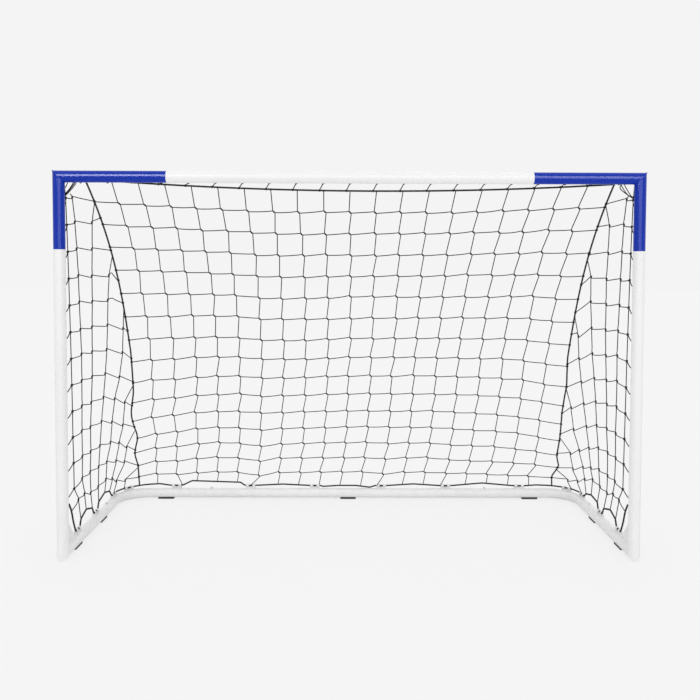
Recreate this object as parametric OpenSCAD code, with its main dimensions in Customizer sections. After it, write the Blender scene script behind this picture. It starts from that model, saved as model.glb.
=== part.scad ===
// Junior football goal: plug-together steel tube frame with a knotted net.
// Millimetres. +Z up, the mouth faces -Y, origin on the floor under the middle of the goal.

/* [Goal] */
// Width over the posts
goal_w = 1800; // [1760:10:2000]
// Height from the floor to the top of the crossbar
goal_h = 1194; // [1000:2:1600]
// Depth over the posts and the rear bar
goal_d = 718; // [620:2:900]

/* [Tubes] */
// Outer diameter of every tube
tube_d = 36; // [32:1:40]
// Wall thickness of the tubes
wall = 1.2; // [1:0.1:2]
// Centreline radius of the rear bends
bend_r = 113; // [100:1:140]
// Length of a top corner along the crossbar, from the outer side of the post
top_arm = 344; // [250:0.5:450]
// Length of a top corner down the post, from the top of the crossbar
top_leg = 238; // [180:1:300]
// Height of the joint between a lower corner and its post
low_joint_h = 291; // [220:1:380]
// Distance from the joint in a side tube to the axis of the rear bar
side_joint = 195; // [160:1:230]

/* [Plug-in joints] */
// Length of the reduced tube end that plugs in
plug_len = 60; // [50:1:80]
// Gap round a plug-in end, measured on the radius
plug_gap = 0.2; // [0.1:0.05:0.4]
// Diameter of a spring button
button_d = 8; // [6:0.5:9]
// Height of a button above the tube
button_rise = 5; // [3:0.5:6]
// Distance from the joint to the middle of its button
button_back = 22; // [18:1:26]
// Chamfer round the end of every tube at its joint
end_chamfer = 0.5; // [0.3:0.1:0.8]

/* [Feet and gussets] */
// Height of the rubber under a ground tube
foot_h = 4; // [3:0.5:8]
// Length of a foot along its tube
foot_len = 60; // [40:1:80]
// Width of a foot
foot_w = 24; // [18:1:28]
// Distance of the outer rear feet from the middle
rear_foot_x = 710; // [650:5:740]
// Distance of the two feet of a side from the post's axis
side_feet = [120, 400];
// Length of a gusset along the post and along the ground tube
gusset_leg = 88; // [60:1:95]
// Thickness of a gusset
gusset_t = 3; // [2:0.5:5]

/* [Net] */
// Thickness of the net's thread
thread_d = 2.4; // [2:0.1:4]
// Thickness of the border ropes
rope_d = 5.5; // [4:0.5:7]
// Meshes across the back panel
net_columns = 20; // [12:1:20]
// Meshes down the back panel
net_rows = 15; // [10:1:15]
// Distance of the net clips on a side tube from the post's axis
side_clips = [140, 335, 556];
// Distance of the net clips on the rear bar from the middle
rear_clips = [130, 381, 670];
// Distance between the net studs of the crossbar and of the posts
stud_pitch = 82; // [70:1:100]
// Number of net studs behind the crossbar
bar_studs = 21; // [15:2:21]
// Number of net studs behind each post
post_studs = 12; // [8:1:12]

/* [Hidden] */
$fn = 48;
eps = 0.01;
far = 2000;
tube_r = tube_d / 2;
bore_r = tube_r - wall;
plug_r = bore_r - plug_gap;
plug_bore_r = plug_r - wall;
plug_lead = 2;
plug_tip_r = plug_r - 0.5;

post_x = goal_w / 2 - tube_r;
front_y = -goal_d / 2 + tube_r;
rear_y = goal_d / 2 - tube_r;
bar_z = goal_h - tube_r;
ground_z = foot_h + tube_r;
bar_joint_x = goal_w / 2 - top_arm;
post_joint_z = goal_h - top_leg;
side_joint_y = rear_y - side_joint;
bend_x = post_x - bend_r;
bend_y = rear_y - bend_r;

// Rows of JOINTS: name, place of the button on the tube's axis, direction towards the piece
// with the reduced end, direction that the button points. Each comes as left, then right.
JOINTS = [
    for (s = [-1, 1]) [
        str("crossbar_", s < 0 ? "left" : "right"),
        [s * (bar_joint_x - button_back), front_y, bar_z], [s, 0, 0], [0, 1, 0]
    ],
    for (s = [-1, 1]) [
        str("upper_post_", s < 0 ? "left" : "right"),
        [s * post_x, front_y, post_joint_z - button_back], [0, 0, 1], [0, 1, 0]
    ],
    for (s = [-1, 1]) [
        str("lower_post_", s < 0 ? "left" : "right"),
        [s * post_x, front_y, low_joint_h + button_back], [0, 0, -1], [0, 1, 0]
    ],
    for (s = [-1, 1]) [
        str("side_", s < 0 ? "left" : "right"),
        [s * post_x, side_joint_y - button_back, ground_z], [0, 1, 0], [0, 0, 1]
    ],
    for (s = [-1, 1]) [
        str("rear_", s < 0 ? "left" : "right"),
        [s * (bar_joint_x - button_back), rear_y, ground_z], [s, 0, 0], [0, 0, 1]
    ]
];

// Buttons and their leaf springs
button_r = button_d / 2;
hole_gap = 0.15;
leaf_w = 10;
leaf_t = 0.8;
leaf_leg = 20;
leaf_tail = 8;
flange_r = 5.4;
flange_t = 1;
leaf_seat = sqrt(pow(plug_bore_r, 2) - pow(leaf_w / 2, 2));
flange_top = sqrt(pow(plug_bore_r, 2) - pow(flange_r, 2)) - 0.1;

// Feet
foot_side = 9;
foot_chamfer = 1.5;
foot_pin_r = 2.9;
foot_head_r = 4.2;
foot_head_h = 2.5;
foot_hole_gap = 0.1;

// Net clips on top of the ground frame
clip_len = 36;
clip_w = 14;
clip_base = 7.5;
clip_finger = 11;
clip_slot_gap = 0.8;
clip_wall = 2;
peg_r = 1.9;
peg_gap = 0.1;
peg_len = 4;
rope_seat = tube_r + clip_base + clip_slot_gap + rope_d / 2;

// Net studs behind the crossbar and the posts
stud_tilt = 15;
stud_base_r = 6;
stud_base_h = 1.5;
stud_neck_r = 2.2;
stud_head_r = 4.5;
stud_rise = 8;
stud_head_h = 2;
stud_wrap = 3.5;
bar_stud_dir = [0, cos(stud_tilt), sin(stud_tilt)];
stud_top = goal_h - 112;
stud_low = 140;
bar_stud_x = [
    for (i = [0 : bar_studs - 1]) let (x = (i - (bar_studs - 1) / 2) * stud_pitch)
        if (abs(x) < post_x - tube_d) x
];
post_stud_z = [for (i = [0 : post_studs - 1]) let (z = stud_top - i * stud_pitch) if (z > stud_low) z];

// A tie leaves the top rope tie_shift beside its stud, and the edge of a side tie_rise above it
tie_shift = 40;
tie_rise = 36;

// The border rope of the ground frame follows the tube. A station is a length along the tube's
// axis, from the post's axis round to the middle of the rear bar.
arc_len = PI / 2 * bend_r;
side_len = bend_y - front_y;
bend_mid = side_len + arc_len / 2;
side_lift = 30;
rear_lift = 9;
clip_reach = clip_len / 2 + 2;
seam_angle = 18;
seam_station = side_len + arc_len - bend_r * seam_angle * PI / 180;
half_stations = concat(
    side_clips,
    [bend_mid],
    [for (i = [len(rear_clips) - 1 : -1 : 0]) side_len + arc_len + bend_x - rear_clips[i]]
);
half_len = side_len + arc_len + bend_x;
stations = concat(half_stations, [2 * half_len - half_stations[len(half_stations) - 1]]);

// Net surface: the net's edge hangs edge_gap behind the post and draws in from it on its way
// down, and the back panel is narrowest halfway down
edge_gap = 9;
edge_top = [post_x - 8, front_y + tube_r + edge_gap, goal_h - 32];
rope_start = [post_x - 28, front_y + tube_r + edge_gap, 110];
top_rope_y = front_y + tube_r + 5;
top_rope_sag = 28;
top_rope_end = [post_x - 72, top_rope_y, goal_h - 29];
seam_waist = post_x - 120;
back_wave = 13;

// How much lower the rows of the back panel run beside the seams, as a share of its height
row_dip = 0.05;

// Columns of a side panel, as lengths along the panel from its edge: the first, the step to the
// next and how far they all lean back to the post on their way up. The last stays seam_margin
// off the seam, and a column that would end at a net clip ends clip_pass behind it.
side_first = 117;
side_step = 72.5;
side_lean = 94;
seam_margin = 13;
clip_pass = 25;

// Ropes as swept tubes
rope_sides = 6;
top_rope_steps = 40;
seam_steps = 30;
span_steps = 4;

joint_names = [for (j = JOINTS) j[0]];

function unit(v) = v / norm(v);
function lerp(a, b, t) = a + (b - a) * t;

// Axis of the ground tube and its inward direction at station s, on the side x > 0
function ground_axis(s) =
    s < side_len ? [[post_x, front_y + s, ground_z], [-1, 0, 0]]
    : s < side_len + arc_len ? let (a = (s - side_len) / bend_r * 180 / PI) [
        [bend_x + bend_r * cos(a), bend_y + bend_r * sin(a), ground_z], [-cos(a), -sin(a), 0]
    ]
    : [[bend_x - (s - side_len - arc_len), rear_y, ground_z], [0, -1, 0]];

// How far the rope rises in an arch between two clips; it runs straight through a clip
function span_of(s) = [for (i = [0 : len(stations) - 2]) if (s >= stations[i]) i];
function lift(s) =
    let (
        found = span_of(s),
        i = found[len(found) - 1],
        start = stations[i] + clip_reach,
        end = stations[i + 1] - clip_reach
    )
    (i < len(side_clips) - 1 ? side_lift : rear_lift) * sin(180 * (s - start) / (end - start));

// The ground rope's centre at station s, on the side x > 0
function ground_rope(s) =
    let (
        first = stations[0] - clip_reach,
        near = [for (c = stations) if (abs(s - c) <= clip_reach) c],
        at = len(near) > 0 ? near[0] : s,
        g = ground_axis(at)
    )
    s < first
    ? lerp(rope_start, ground_rope(first), s / first)
    : g[0] + cross(g[1], [0, 0, 1]) * (s - at) + [0, 0, rope_seat + (len(near) > 0 ? 0 : lift(s))];

function top_rope(x) = [
    x, top_rope_y,
    top_rope_end[2] - top_rope_sag * (1 - pow(x / top_rope_end[0], 2))
];

seam_end = ground_rope(seam_station);
mesh_pitch = 2 * seam_end[0] / net_columns;

// Seam between back and side panel and edge along the post, for x > 0. v runs from 0 at the top
// to 1 at the ground.
function seam(v) = [
    v < 0.5
    ? lerp(seam_waist, top_rope_end[0], pow(1 - 2 * v, 3))
    : lerp(seam_waist, seam_end[0], pow(2 * v - 1, 1.2)),
    lerp(top_rope_y, seam_end[1], v) + back_wave * sin(360 * v),
    lerp(top_rope_end[2], seam_end[2], v)
];
function edge(v) = lerp(edge_top, rope_start, v);

// How far down height z is along a line from a to b
function share(a, b, z) = min(1, max(0, (a[2] - z) / (a[2] - b[2])));
function edge_share(z) = share(edge_top, rope_start, z);

// Rows of a side panel, each as its place along the edge and along the seam: the top, a level
// row above each stud of the post, one that follows the ground rope, and the ground rope
side_levels = [for (z = post_stud_z) [edge_share(z + tie_rise), share(top_rope_end, seam_end, z + tie_rise)]];
side_rows = concat([[0, 0]], side_levels,
    [lerp(side_levels[len(side_levels) - 1], [1, 1], 0.6)], [[1, 1]]);

// Knots of a row of a side panel: at the edge, at each column and at the seam
function past_clips(s) =
    let (near = [for (c = side_clips) if (abs(s - c) < clip_pass) c])
    len(near) > 0 ? near[0] + clip_pass : s;
function side_knots(row) =
    let (
        a = edge(row[0]),
        b = seam(row[1]),
        width = norm([b[0] - a[0], b[1] - a[1]]),
        lean = side_lean * pow(max(0, 1 - row[0] / 0.9), 1.2)
    )
    [
        a,
        for (c = [0 : 20]) let (d = side_first + c * side_step - lean) if (d < width - seam_margin)
            let (
                q = d / width,
                bow = ground_rope(q * seam_station) - lerp(rope_start, seam_end, q),
                v = lerp(row[0], row[1], q)
            )
            v == 1 ? ground_rope(past_clips(q * seam_station))
            : lerp(a, b, q) + [bow[0], bow[1], 0] * v,
        b
    ];

// Point of the back panel, u from -1 to 1 across and level from 0 at the top to 1 at the ground
function back_point(u, level) =
    let (
        v = level + row_dip * pow(abs(u), 3.3) * sin(180 * pow(level, 2.2)),
        s = seam(v),
        top = top_rope(u * top_rope_end[0]),
        x = abs(u) * seam_end[0],
        turn = x > bend_x ? asin((x - bend_x) / bend_r) : 0,
        low = ground_rope(x > bend_x ? side_len + arc_len - bend_r * turn * PI / 180 : half_len - x)
    )
    [u * s[0], s[1] + (low[1] - seam_end[1]) * v, lerp(top[2], low[2], v)];

function flat(lists) = [for (l = lists) each l];
function before(lists, k) = k == 0 ? [0] : let (b = before(lists, k - 1))
    concat(b, [b[k - 1] + len(lists[k - 1])]);
function by_angle(list) = len(list) < 2 ? list : let (pivot = list[0][0])
    concat(by_angle([for (v = list) if (v[0] < pivot) v]), [list[0]],
        by_angle([for (v = list) if (v[0] > pivot) v]));

// Angle of the thread from knot a to knot b about the net's direction at a
function heading(p, n, a, b) =
    let (x = unit(cross(n[a], [0, 0, 1])), along = p[b] - p[a])
    atan2(along * cross(n[a], x), along * x);

// Corner at knot b of the gap on the left of the way a, b, c. At a loose end c is a, and the
// corner is the one beside the way back.
function inset(p, n, a, b, c, d) =
    let (
        n0 = unit(cross(n[b], p[b] - p[a])),
        n1 = unit(cross(n[b], p[c] - p[b]))
    )
    p[b] + (a == c ? n1 * d : (n0 + n1) * d / (1 + n0 * n1));

// A net as one closed solid. p holds the knots, n the net's direction at each, and threads the
// pairs of knots that are joined. Each thread is two ways, one from either end, and the ways
// from a knot are sorted by angle. A way has a gap on its left, whose corner at its start is
// a point of the net's front and one of its rear. A loose end has a second corner.
module web(p, n, threads) {
    around = [for (a = [0 : len(p) - 1]) by_angle([
        for (t = threads) if (t[0] == a || t[1] == a)
            let (b = t[0] == a ? t[1] : t[0]) [heading(p, n, a, b), b]
    ])];
    first = before(around, len(p));
    total = first[len(p)];
    ways = flat([for (a = [0 : len(p) - 1]) [for (v = around[a]) [a, v[1]]]]);
    keys = [for (w = ways) w[0] * len(p) + w[1]];
    twin = [for (w = ways) search(w[1] * len(p) + w[0], keys)[0]];
    loose = [for (a = [0 : len(p) - 1]) if (len(around[a]) == 1) a];
    ahead = [for (i = [0 : total - 1]) let (b = ways[i][1], count = len(around[b]))
        count == 1 ? total + search(b, loose)[0] : first[b] + (twin[i] - first[b] + count - 1) % count];

    r = thread_d / 2;
    starts = [for (i = [0 : total - 1])
        let (a = ways[i][0], count = len(around[a]), from = around[a][(i - first[a] + 1) % count][1])
        inset(p, n, from, a, ways[i][1], r)];
    ends = [for (b = loose) p[b] + unit(cross(n[b], p[b] - p[around[b][0][1]])) * r];
    rise = [for (a = concat([for (w = ways) w[0]], loose)) n[a] * r];
    corners = concat(starts, ends);
    count = len(corners);

    rim = concat(
        [for (i = [0 : total - 1]) [i, ahead[i]]],
        [for (k = [0 : len(loose) - 1]) [total + k, first[loose[k]]]]
    );
    walls = flat([for (e = rim) [[e[1], e[0], e[0] + count], [e[1], e[0] + count, e[1] + count]]]);
    sides = flat([for (i = [0 : total - 1]) let (t = twin[i])
        i > t ? [] : [[i, ahead[i], t], [i, t, ahead[t]]]]);
    knots = flat([for (a = [0 : len(p) - 1]) let (i = first[a])
        len(around[a]) < 3 ? [] : [for (k = [1 : len(around[a]) - 2]) [i, i + k + 1, i + k]]]);
    front = concat(sides, knots);
    rear = [for (f = front) [f[2] + count, f[1] + count, f[0] + count]];
    polyhedron(concat(corners + rise, corners - rise), concat(walls, front, rear));
}

// The back panel. Its threads end in the ropes round it.
function grid_at(r, c) = r * (net_columns + 1) + c;
module net_back() {
    across = [for (c = [0 : net_columns]) 2 * c / net_columns - 1];
    points = [for (r = [0 : net_rows]) for (u = across) back_point(u, r / net_rows)];
    slope = unit(seam(0) - seam(1));
    facing = unit(cross([1, 0, 0], [0, slope[1], slope[2]]));
    rows = [for (r = [1 : net_rows - 1]) for (c = [1 : net_columns]) [grid_at(r, c - 1), grid_at(r, c)]];
    drops = [for (c = [1 : net_columns - 1]) for (r = [1 : net_rows]) [grid_at(r - 1, c), grid_at(r, c)]];
    color("#1a1a1a") web(points, [for (p = points) facing], concat(rows, drops));
}

// A side panel. It gains meshes on its way down, where the seam moves away from the post.
module net_side() {
    knots = [for (row = side_rows) side_knots(row)];
    last = len(knots) - 1;
    counts = [for (row = knots) len(row) - 1];
    row_start = before(knots, last + 1);
    outward = [for (row = knots) let (along = row[len(row) - 1] - row[0])
        for (p = row) unit(cross([along[0], along[1], 0], [0, 0, 1]))];
    rows = [for (r = [0 : last - 1]) for (c = [1 : counts[r]]) [row_start[r] + c - 1, row_start[r] + c]];
    drops = [for (r = [1 : last]) for (c = [0 : min(counts[r - 1], counts[r] - 1)])
        if (c < counts[r - 1] || counts[r] > counts[r - 1]) [row_start[r - 1] + c, row_start[r] + c]];
    color("#1a1a1a") web(flat(knots), outward, concat(rows, drops));
}

// A rope with flat sides swept along points; no stretch of it runs along ref
module rope(points, ref) {
    count = len(points);
    rings = [for (i = [0 : count - 1])
        let (
            ahead = unit(points[min(i + 1, count - 1)] - points[max(i - 1, 0)]),
            side = unit(cross(ahead, ref)),
            up = cross(side, ahead)
        )
        for (k = [0 : rope_sides - 1]) let (a = 360 * k / rope_sides)
            points[i] + (side * cos(a) + up * sin(a)) * rope_d / 2];
    skin = [for (i = [0 : count - 2]) for (k = [0 : rope_sides - 1])
        let (a = i * rope_sides + k, b = i * rope_sides + (k + 1) % rope_sides)
        each [[a, b, a + rope_sides], [b, b + rope_sides, a + rope_sides]]];
    last = (count - 1) * rope_sides;
    caps = [for (k = [1 : rope_sides - 2]) each [[0, k + 1, k], [last, last + k, last + k + 1]]];
    color("#151515") polyhedron(rings, concat(skin, caps));
}

module rope_top() {
    along = [for (i = [0 : top_rope_steps]) 2 * i / top_rope_steps - 1];
    rope([for (u = along) top_rope(u * top_rope_end[0])], [0, 0, 1]);
}

module rope_seam() {
    rope([for (i = [0 : seam_steps]) seam(i / seam_steps)], [1, 0, 0]);
}

module rope_ground() {
    along = concat([0], flat([for (i = [0 : len(half_stations) - 1])
        let (
            here = stations[i],
            start = here + clip_reach,
            end = stations[i + 1] - clip_reach,
            span = [for (k = [1 : span_steps - 1]) lerp(start, end, k / span_steps)]
        )
        [here - clip_reach, here, start, for (s = span) if (s < half_len) s]
    ]), [half_len]);
    right = [for (s = along) ground_rope(s)];
    left = [for (i = [len(right) - 2 : -1 : 0]) [-right[i][0], right[i][1], right[i][2]]];
    rope(concat(right, left), [0, 0, 1]);
}

// Round tube along +X from x0 to x1
module bar(x0, x1, outer, inner) {
    translate([x0, 0, 0]) rotate([0, 90, 0]) difference() {
        cylinder(r = outer, h = x1 - x0);
        translate([0, 0, -1]) cylinder(r = inner, h = x1 - x0 + 2);
    }
}

// Turns +X to direction a and +Z to direction z
module turned(a, z) {
    y = cross(z, a);
    multmatrix([[a[0], y[0], z[0], 0], [a[1], y[1], z[1], 0], [a[2], y[2], z[2], 0], [0, 0, 0, 1]])
        children();
}

// Children at joint i, with +X towards the piece that plugs in and +Z along the button
module at_joint(i) {
    translate(JOINTS[i][1]) turned(JOINTS[i][2], JOINTS[i][3]) children();
}

// What joint i takes off its tubes: the hole for the button, and a groove round the joint line
// that chamfers both ends
module joint_cut(i) {
    at_joint(i) {
        cylinder(r = button_r + hole_gap, h = tube_d);
        translate([button_back, 0, 0]) rotate([0, 90, 0]) rotate_extrude()
            polygon([[tube_r - end_chamfer, 0], [tube_r + 1, -end_chamfer - 1], [tube_r + 1, end_chamfer + 1]]);
    }
}

// The reduced end that plugs into the tube at joint i, with the step down to it and a tip drawn
// in to find the other tube
module plug(i) {
    tip = button_back - plug_len;
    at_joint(i) {
        bar(tip + plug_lead, button_back, plug_r, plug_bore_r);
        bar(button_back, button_back + wall, bore_r + eps, plug_bore_r);
        translate([tip, 0, 0]) rotate([0, 90, 0]) difference() {
            cylinder(r1 = plug_tip_r, r2 = plug_r, h = plug_lead);
            translate([0, 0, -1]) cylinder(r = plug_bore_r, h = plug_lead + 2);
        }
    }
}

// Half of space: the side of the mitre that +X lies on, or the other side
module mitre_side(s) {
    rotate([0, -45, 0]) translate([s > 0 ? 0 : -far, -far / 2, -far]) cube([far, far, 2 * far]);
}

// Solid corner of radius r: an arm along +X and a leg along -Z, mitred at the origin
module corner_solid(r, arm, leg) {
    intersection() {
        translate([-2 * r, 0, 0]) rotate([0, 90, 0]) cylinder(r = r, h = arm + 2 * r);
        mitre_side(1);
    }
    intersection() {
        translate([0, 0, -leg]) cylinder(r = r, h = leg + 2 * r);
        mitre_side(-1);
    }
}

module corner_tube(arm, leg) {
    difference() {
        corner_solid(tube_r, arm, leg);
        corner_solid(bore_r, arm + 1, leg + 1);
    }
}

module crossbar() {
    color("white") difference() {
        translate([0, front_y, bar_z]) bar(-bar_joint_x, bar_joint_x, tube_r, bore_r);
        for (i = [0, 1]) joint_cut(i);
    }
}

// A post, from the joint below to the joint above; i is its upper joint
module post(i) {
    color("white") difference() {
        translate([JOINTS[i][1][0], front_y, low_joint_h]) rotate([0, -90, 0])
            bar(0, post_joint_z - low_joint_h, tube_r, bore_r);
        joint_cut(i);
        joint_cut(i + 2);
    }
}

// Pieces of the side x > 0; the other side mirrors them
module top_corner() {
    color("#2438b4") difference() {
        union() {
            translate([post_x, front_y, bar_z]) mirror([1, 0, 0])
                corner_tube(top_arm - tube_r, top_leg - tube_r);
            plug(1);
            plug(3);
        }
        joint_cut(1);
        joint_cut(3);
    }
}

module lower_corner() {
    color("white") difference() {
        union() {
            translate([post_x, front_y, ground_z]) mirror([0, 0, 1]) rotate([0, 0, 90])
                corner_tube(side_joint_y - front_y, low_joint_h - ground_z);
            plug(5);
        }
        joint_cut(5);
        joint_cut(7);
        for (y = side_feet) foot_hole([post_x, front_y + y, 0]);
        for (s = side_clips) if (front_y + s < side_joint_y - plug_len) clip_hole(s);
    }
}

module rear_bend() {
    color("white") difference() {
        union() {
            translate([bend_x, bend_y, ground_z]) rotate_extrude(angle = 90) translate([bend_r, 0])
                difference() {
                    circle(r = tube_r);
                    circle(r = bore_r);
                }
            translate([post_x, 0, ground_z]) rotate([0, 0, 90]) bar(side_joint_y, bend_y, tube_r, bore_r);
            translate([0, rear_y, ground_z]) bar(bar_joint_x, bend_x, tube_r, bore_r);
            plug(7);
            plug(9);
        }
        joint_cut(7);
        joint_cut(9);
        foot_hole([rear_foot_x, rear_y, 0]);
        for (s = half_stations)
            if (front_y + s > side_joint_y && s < half_len - bar_joint_x) clip_hole(s);
    }
}

module rear_bar() {
    color("white") difference() {
        translate([0, rear_y, ground_z]) bar(-bar_joint_x, bar_joint_x, tube_r, bore_r);
        for (i = [8, 9]) joint_cut(i);
        foot_hole([0, rear_y, 0]);
        for (x = rear_clips) if (x < bar_joint_x - plug_len) for (m = [0, 1])
            mirror([m, 0, 0]) clip_hole(half_len - x);
    }
}

// Flat plate in the inner angle of a lower corner, cut to fit the tubes
module gusset() {
    reach = tube_r + gusset_leg;
    color("gainsboro") difference() {
        translate([post_x - gusset_t / 2, front_y, ground_z]) rotate([90, 0, 90])
            linear_extrude(gusset_t) polygon([
                [0, 0], [reach, 0], [reach, tube_r + 2], [tube_r + 2, reach], [0, reach]
            ]);
        translate([post_x, front_y, 0]) cylinder(r = tube_r, h = 3 * reach);
        translate([post_x, front_y, ground_z]) rotate([-90, 0, 0]) cylinder(r = tube_r, h = 3 * reach);
    }
}

// A spring button in its joint: a round pin with a domed tip on a thin flange
module button(i) {
    tip = tube_r + button_rise;
    dome = button_r / 2;
    color("silver") at_joint(i) rotate_extrude() polygon(concat(
        [[0, flange_top - flange_t], [flange_r, flange_top - flange_t], [flange_r, flange_top],
         [button_r, flange_top], [button_r, tip - dome]],
        [for (a = [15 : 15 : 75]) [button_r - dome + dome * cos(a), tip - dome + dome * sin(a)]],
        [[button_r - dome, tip], [0, tip]]
    ));
}

// The bent leaf spring that holds a button out: a leg under the button, a bend and a leg on the
// far wall of the reduced end
module button_spring(i) {
    upper = flange_top - flange_t;
    bend = (upper + leaf_seat) / 2;
    color("silver") at_joint(i) rotate([90, 0, 0]) translate([0, 0, -leaf_w / 2]) linear_extrude(leaf_w) {
        translate([-leaf_tail, upper - leaf_t]) square([leaf_tail + leaf_leg, leaf_t]);
        translate([-leaf_tail, -leaf_seat]) square([leaf_tail + leaf_leg, leaf_t]);
        translate([leaf_leg, (upper - leaf_seat) / 2]) intersection() {
            difference() {
                circle(r = bend);
                circle(r = bend - leaf_t);
            }
            translate([0, -2 * bend]) square(4 * bend);
        }
    }
}

// A rubber foot under a tube that runs along +X, with its pin through the tube's wall
module foot() {
    head_z = ground_z - sqrt(pow(bore_r, 2) - pow(foot_head_r, 2)) + 0.05;
    color("#202020") {
        difference() {
            translate([-foot_len / 2, 0, 0]) rotate([90, 0, 90]) linear_extrude(foot_len) polygon([
                [-foot_w / 2 + foot_chamfer, 0], [foot_w / 2 - foot_chamfer, 0],
                [foot_w / 2, foot_chamfer], [foot_w / 2, foot_side],
                [-foot_w / 2, foot_side], [-foot_w / 2, foot_chamfer]
            ]);
            translate([-foot_len, 0, ground_z]) rotate([0, 90, 0]) cylinder(r = tube_r, h = 2 * foot_len);
        }
        translate([0, 0, foot_h / 2]) cylinder(r = foot_pin_r, h = head_z + foot_head_h / 2 - foot_h / 2);
        translate([0, 0, head_z]) cylinder(r1 = foot_head_r, r2 = foot_pin_r, h = foot_head_h);
    }
}

module foot_hole(p) {
    translate(p) cylinder(r = foot_pin_r + foot_hole_gap, h = ground_z);
}

module side_foot(sx, i) {
    translate([sx * post_x, front_y + side_feet[i], 0]) rotate([0, 0, 90]) foot();
}

module rear_foot(sx) {
    translate([sx * rear_foot_x, rear_y, 0]) foot();
}

// Children at the net clip of station s, with +X along the tube and +Z out of it
module at_clip(s) {
    g = ground_axis(s);
    translate(g[0]) turned(cross(g[1], [0, 0, 1]), [0, 0, 1]) children();
}

module clip_hole(s) {
    at_clip(s) cylinder(r = peg_r + peg_gap, h = tube_d);
}

// The ground tube that the clip of station s sits on, as a solid rod: straight, bent or both
module clip_rod(s) {
    arc_end = side_len + arc_len;
    if (s + clip_len > side_len && s - clip_len < arc_end)
        translate([bend_x, bend_y, ground_z]) rotate_extrude(angle = 90)
            translate([bend_r, 0]) circle(r = tube_r);
    if (s < side_len || s > arc_end)
        at_clip(s) translate([-clip_len, 0, 0]) rotate([0, 90, 0]) cylinder(r = tube_r, h = 2 * clip_len);
}

// A hook round the rope, open towards the mouth of the goal and cut flat where it meets its base
module clip_hook() {
    hook_r = rope_d / 2 + clip_slot_gap;
    translate([-clip_finger / 2, 0, rope_seat]) rotate([90, 0, 90]) linear_extrude(clip_finger)
        difference() {
            circle(r = hook_r + clip_wall);
            circle(r = hook_r);
            translate([-2 * hook_r, -hook_r / 2]) square([2 * hook_r, hook_r]);
            translate([-2 * hook_r, -3 * hook_r]) square([4 * hook_r, 2 * hook_r]);
        }
}

// The net clip of station s: a saddle on the tube and two hooks, held by a peg in the tube
module net_clip(s) {
    color("whitesmoke") {
        difference() {
            at_clip(s) translate([-clip_len / 2, -clip_w / 2, 0])
                cube([clip_len, clip_w, tube_r + clip_base]);
            clip_rod(s);
        }
        at_clip(s) {
            for (m = [-1, 1]) translate([m * (clip_len - clip_finger) / 2, 0, 0]) clip_hook();
            translate([0, 0, tube_r - peg_len]) cylinder(r = peg_r, h = peg_len + clip_base / 2);
        }
    }
}

module side_clip_group() {
    for (s = concat(side_clips, [bend_mid])) net_clip(s);
}

module rear_clip_group() {
    for (x = rear_clips) for (m = [0, 1]) mirror([m, 0, 0]) net_clip(half_len - x);
}

// A net stud on a tube that runs along +X: a base, a neck that the tie goes round and a flat head
module net_stud() {
    color("whitesmoke") {
        difference() {
            cylinder(r = stud_base_r, h = tube_r + stud_base_h);
            translate([-tube_r, 0, 0]) rotate([0, 90, 0]) cylinder(r = tube_r, h = tube_d);
        }
        translate([0, 0, tube_r + stud_base_h / 2])
            cylinder(r = stud_neck_r, h = stud_rise - stud_head_h);
        translate([0, 0, tube_r + stud_rise - stud_head_h]) cylinder(r = stud_head_r, h = stud_head_h);
    }
}

module bar_stud_group() {
    for (x = bar_stud_x) translate([x, front_y, bar_z]) turned([1, 0, 0], bar_stud_dir) net_stud();
}

module post_stud_group() {
    for (z = post_stud_z) translate([post_x, front_y, z]) turned([0, 0, 1], [0, 1, 0]) net_stud();
}

// A tie from a to b: a straight piece of thread
module tie(a, b) {
    d = b - a;
    translate(a) rotate([0, acos(d[2] / norm(d)), atan2(d[1], d[0])])
        cylinder(d = thread_d, h = norm(d), $fn = 24);
}

module bar_tie_group() {
    color("#1a1a1a") for (x = bar_stud_x)
        tie(
            top_rope(max(x - tie_shift, -top_rope_end[0] + rope_d)),
            [x, front_y, bar_z] + bar_stud_dir * (tube_r + stud_wrap)
        );
}

module post_tie_group() {
    color("#1a1a1a") for (z = post_stud_z)
        tie(
            edge(edge_share(z + tie_rise)),
            [post_x, front_y + tube_r + stud_wrap, z]
        );
}

module left() {
    mirror([1, 0, 0]) children();
}

crossbar();
post(2);  // post_left
post(3);  // post_right
rear_bar();
left() top_corner();  // top_corner_left
top_corner();  // top_corner_right
left() lower_corner();  // lower_corner_left
lower_corner();  // lower_corner_right
left() rear_bend();  // rear_bend_left
rear_bend();  // rear_bend_right
left() gusset();  // gusset_left
gusset();  // gusset_right
rear_foot(-1);  // foot_rear_left
rear_foot(0);  // foot_rear_middle
rear_foot(1);  // foot_rear_right
side_foot(-1, 0);  // foot_left_front
side_foot(-1, 1);  // foot_left_back
side_foot(1, 0);  // foot_right_front
side_foot(1, 1);  // foot_right_back
for (i = [0 : len(JOINTS) - 1]) {
    button(i);
    button_spring(i);
}
left() side_clip_group();  // net_clips_left
side_clip_group();  // net_clips_right
rear_clip_group();  // net_clips_rear
bar_stud_group();  // net_studs_crossbar
left() post_stud_group();  // net_studs_left
post_stud_group();  // net_studs_right
net_back();
left() net_side();  // net_side_left
net_side();  // net_side_right
rope_top();
left() rope_seam();  // rope_seam_left
rope_seam();  // rope_seam_right
rope_ground();
bar_tie_group();  // net_ties_crossbar
left() post_tie_group();  // net_ties_left
post_tie_group();  // net_ties_right
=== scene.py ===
"""Junior football goal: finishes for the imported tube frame, with its knotted net, border ropes,
ties and welds modelled round it, on a pale studio floor."""

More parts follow.
